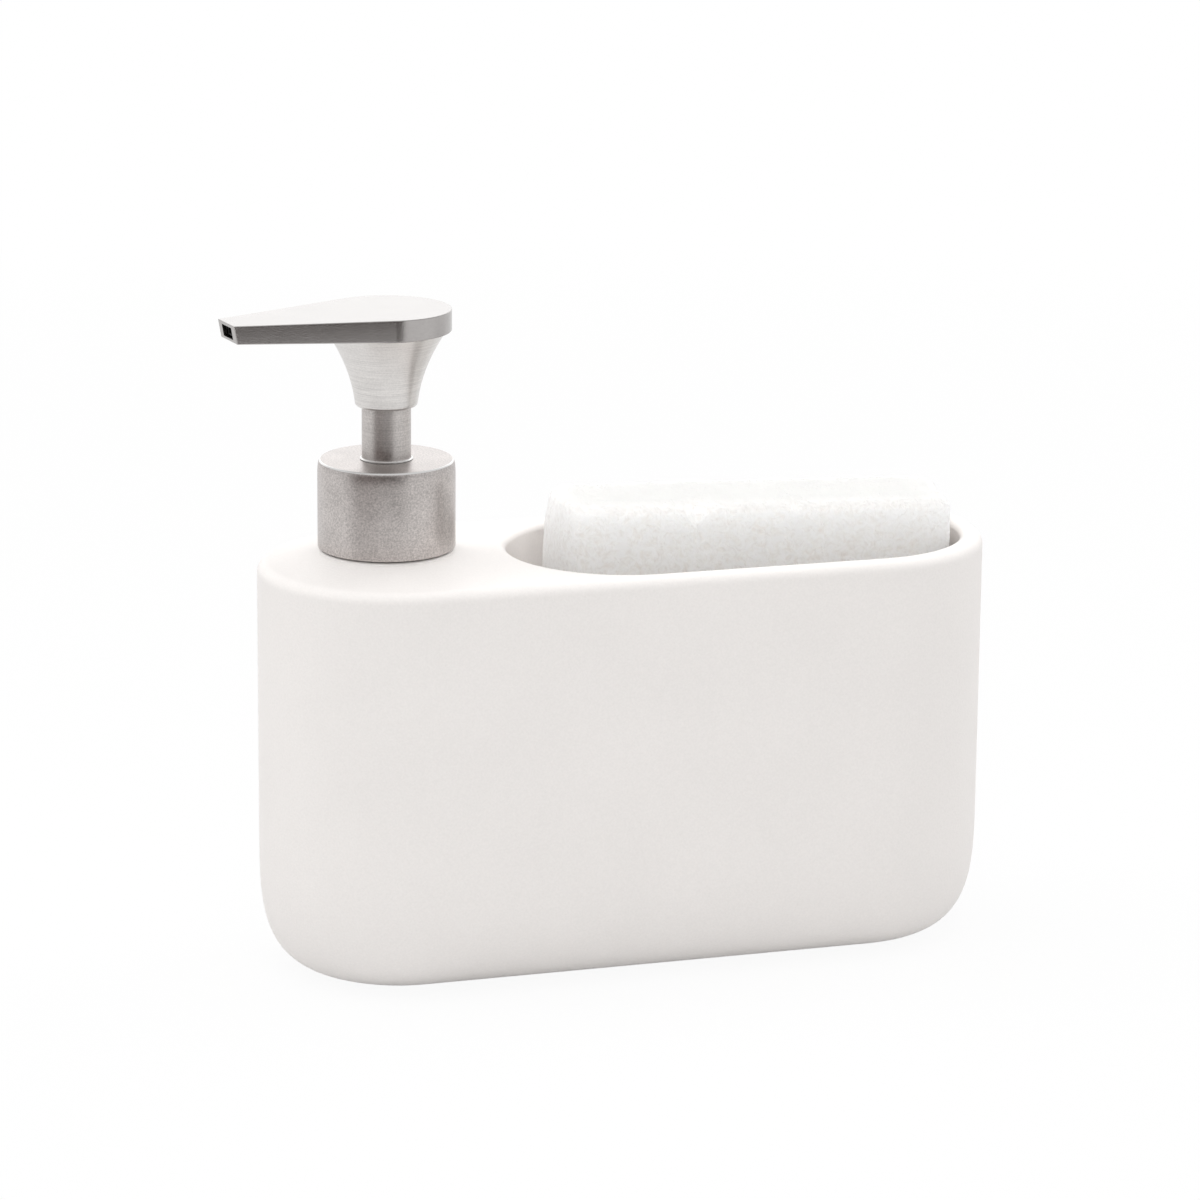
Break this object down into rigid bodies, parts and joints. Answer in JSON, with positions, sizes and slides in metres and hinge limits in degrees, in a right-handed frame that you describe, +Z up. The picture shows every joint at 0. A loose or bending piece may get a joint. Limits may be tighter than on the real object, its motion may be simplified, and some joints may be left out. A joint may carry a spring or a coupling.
{
  "type": "soap dispenser",
  "caption": "White ceramic soap dispenser with a stadium-shaped body, a steel push pump at one end and an open well holding a sponge at the other.",
  "frame": {"origin": "centre of the vessel's flat base", "axes": "+X runs along the body towards the sponge, +Z up, -Y towards the front"},
  "size_m": [0.1859, 0.066, 0.1578],
  "materials": {
    "ceramic": "matte, fine grained",
    "satin_steel": "satin, brushed round the axis",
    "spring_steel": "drawn stainless wire",
    "white_plastic": "moulded",
    "natural_plastic": "unpigmented, moulded",
    "black_plastic": "moulded",
    "silicone": "soft, matt",
    "gasket": "closed foam sheet",
    "sponge": "open cells, dry"
  },
  "bodies": {
    "vessel": {"ceramic_vessel": "ceramic"},
    "neck": {"neck_insert": "white_plastic", "neck_seal": "silicone"},
    "pump": {"pump_housing": "natural_plastic", "housing_gasket": "gasket", "stem_guide": "white_plastic", "neck_sleeve": "satin_steel", "dip_tube": "natural_plastic", "return_spring": "spring_steel"},
    "closure": {"screw_cap": "white_plastic", "collar_cover": "satin_steel"},
    "piston": {"piston": "natural_plastic"},
    "head": {"plunger_rod": "natural_plastic", "stem": "natural_plastic", "actuator_core": "white_plastic", "head_cone": "satin_steel", "head_plate": "satin_steel", "spout_tube": "black_plastic"},
    "ball": {"inlet_ball": "spring_steel"},
    "sponge": {"sponge": "sponge"}
  },
  "joints": [
    {"name": "neck_lift", "type": "slide", "parent": "vessel", "child": "neck", "axis": [0, 0, 1], "range_m": [0, 0.1]},
    {"name": "thread_rise", "type": "slide", "parent": "neck", "child": "pump", "axis": [0, 0, 1], "range_m": [0, 0.00635]},
    {"name": "closure_turn", "type": "hinge", "parent": "pump", "child": "closure", "pos_m": [-0.058, 0, 0.112], "axis": [0, 0, 1], "range_deg": [0, 540]},
    {"name": "head_press", "type": "slide", "parent": "pump", "child": "piston", "axis": [0, 0, -1], "range_m": [0, 0.01], "stiffness_N_per_m": 600, "springref_m": -0.012, "deforming": ["return_spring"]},
    {"name": "head_swivel", "type": "hinge", "parent": "piston", "child": "head", "pos_m": [-0.058, 0, 0.14], "axis": [0, 0, 1], "continuous": true},
    {"name": "inlet_ball_lift", "type": "slide", "parent": "pump", "child": "ball", "axis": [0, 0, 1], "range_m": [0, 0.0015]},
    {"name": "sponge_lift", "type": "slide", "parent": "vessel", "child": "sponge", "axis": [0, 0, 1], "range_m": [0, 0.075]}
  ],
  "couplings": [
    {"joint": "thread_rise", "follows": "closure_turn", "m_per_rad": 0.0006737}
  ]
}
